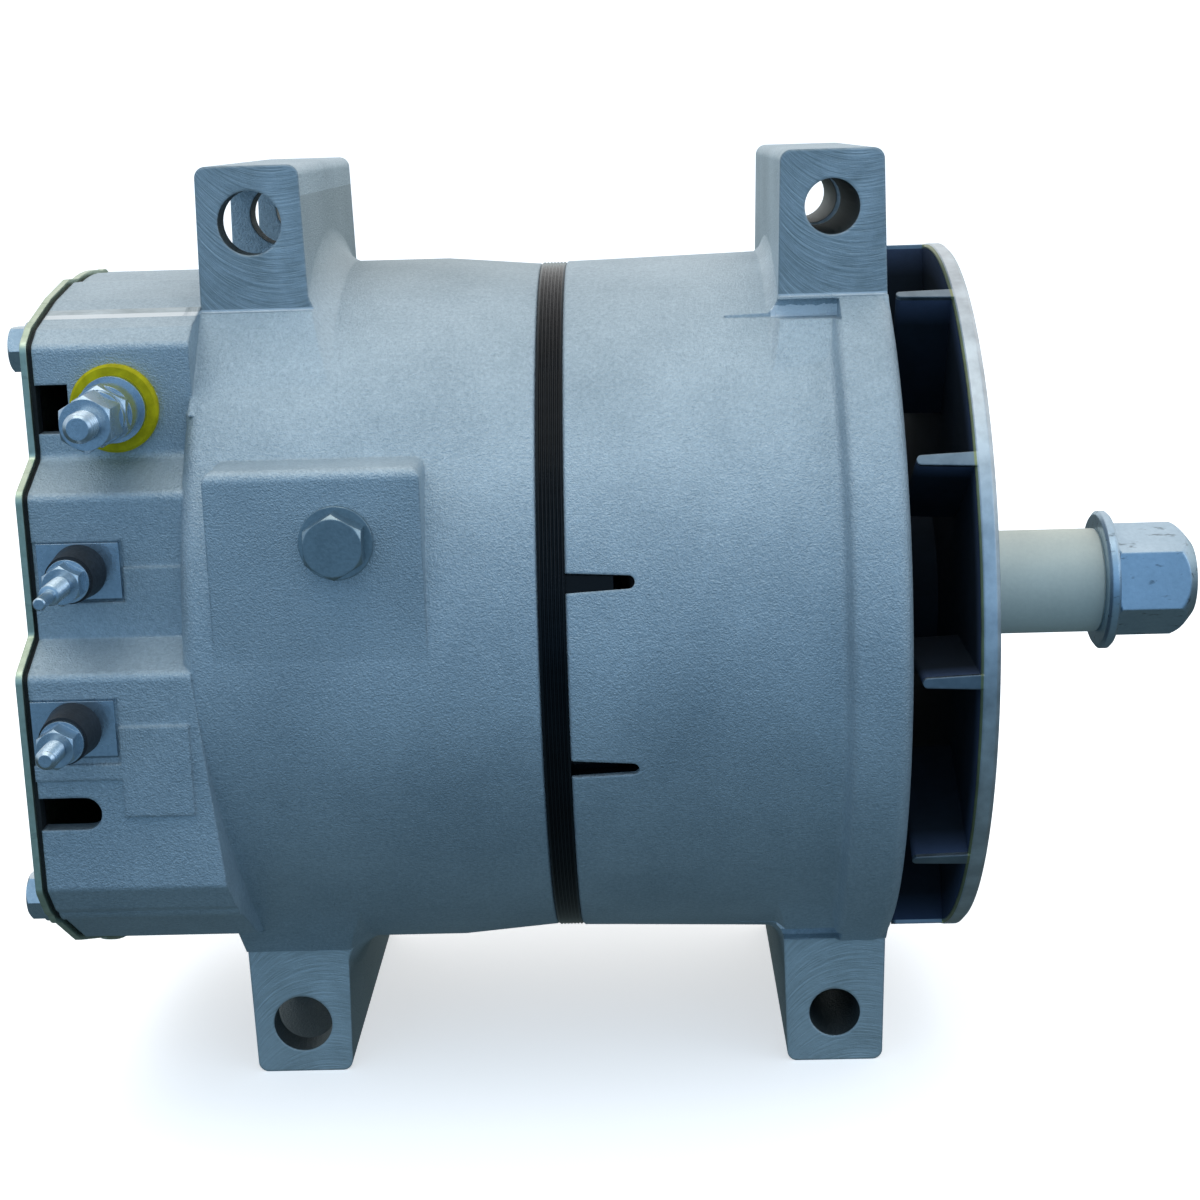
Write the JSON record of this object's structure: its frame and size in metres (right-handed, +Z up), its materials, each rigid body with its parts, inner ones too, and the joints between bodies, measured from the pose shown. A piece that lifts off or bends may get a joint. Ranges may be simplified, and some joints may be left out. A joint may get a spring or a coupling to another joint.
{
  "type": "truck alternator",
  "caption": "Brushless truck alternator with cored mounting lugs, black stator band, terminal compartment, open radial fan and nutted shaft end.",
  "frame": {"origin": "on the shaft axis at the fan's front face, where a pulley hub seats", "axes": "+X along the shaft towards the pulley, +Z up through the upper lugs, terminals on the -Y side"},
  "size_m": [0.2872, 0.2042, 0.226],
  "materials": {
    "cast_aluminium": "shot-blasted die casting, fine grain",
    "black_laminations": "varnished black laminations, glossy",
    "copper_enamel": "varnished enamelled wire",
    "red_lead": "insulated leads",
    "zinc_plate": "bright zinc-plated steel",
    "yellow_zinc_sheet": "yellow-green chromated steel sheet",
    "black_rubber": "matte black rubber",
    "bare_steel": "machined steel",
    "brass": "non-magnetic brass",
    "black_plastic": "moulded black plastic",
    "mica_sheet": "pale insulating sheet",
    "plain_aluminium": "extruded aluminium",
    "olive_nylon": "yellow-olive translucent nylon",
    "black_steel": "blue-black coated steel with bright worn rim",
    "grey_plastic": "matte warm grey plastic"
  },
  "bodies": {
    "housing": {"drive_frame": "cast_aluminium", "rear_frame": "cast_aluminium", "stator_core": "black_laminations", "stator_winding": "copper_enamel", "phase_leads": "red_lead", "rear_cover": "yellow_zinc_sheet", "cover_gasket": "black_rubber", "cover_bolts": "zinc_plate", "through_bolts": "bare_steel", "drive_bearing_outer_race": "bare_steel", "drive_bearing_shields": "bare_steel", "bearing_retainer": "bare_steel", "retainer_screws": "zinc_plate", "rear_bearing_cup": "bare_steel", "field_core": "bare_steel", "field_core_screws": "zinc_plate", "field_bobbin": "black_plastic", "field_winding": "copper_enamel", "rectifier_heat_sink": "plain_aluminium", "rectifier_diodes": "zinc_plate", "rectifier_insulator": "mica_sheet", "rectifier_screws": "zinc_plate", "regulator": "black_plastic", "regulator_screws": "zinc_plate", "diode_trio": "black_plastic", "capacitor": "bare_steel", "capacitor_strap": "zinc_plate", "output_stud": "zinc_plate", "output_insulator": "olive_nylon", "output_flat_washer": "zinc_plate", "output_inner_nut": "zinc_plate", "output_lock_washer": "zinc_plate", "output_outer_nut": "zinc_plate", "indicator_stud": "zinc_plate", "indicator_grommet": "black_rubber", "indicator_plate": "zinc_plate", "indicator_nut": "zinc_plate", "relay_stud": "zinc_plate", "relay_grommet": "black_rubber", "relay_plate": "zinc_plate", "relay_nut": "zinc_plate", "ground_bolt": "zinc_plate", "ground_washer": "zinc_plate"},
    "rotor": {"rotor_shaft": "bare_steel", "drive_pole_half": "bare_steel", "rear_pole_half": "bare_steel", "pole_ring": "brass", "drive_bearing_inner_race": "bare_steel", "fan_collar": "bare_steel", "fan": "black_steel", "shaft_sleeve": "grey_plastic", "shaft_washer": "zinc_plate", "shaft_nut": "zinc_plate", "rear_bearing_sleeve": "bare_steel"},
    "drive_bearing_cage_and_balls": {"drive_bearing_balls": "bare_steel", "drive_bearing_cage": "brass"},
    "rear_bearing_cage_and_rollers": {"rear_bearing_rollers": "bare_steel", "rear_bearing_cage": "brass"}
  },
  "joints": [
    {"name": "rotor_spin", "type": "hinge", "parent": "housing", "child": "rotor", "pos_m": [0, 0, 0], "axis": [1, 0, 0], "continuous": true},
    {"name": "ball_cage_spin", "type": "hinge", "parent": "housing", "child": "drive_bearing_cage_and_balls", "pos_m": [0, 0, 0], "axis": [1, 0, 0], "continuous": true},
    {"name": "roller_cage_spin", "type": "hinge", "parent": "housing", "child": "rear_bearing_cage_and_rollers", "pos_m": [0, 0, 0], "axis": [1, 0, 0], "continuous": true}
  ],
  "couplings": [
    {"joint": "ball_cage_spin", "follows": "rotor_spin", "ratio": 0.369},
    {"joint": "roller_cage_spin", "follows": "rotor_spin", "ratio": 0.4204}
  ]
}
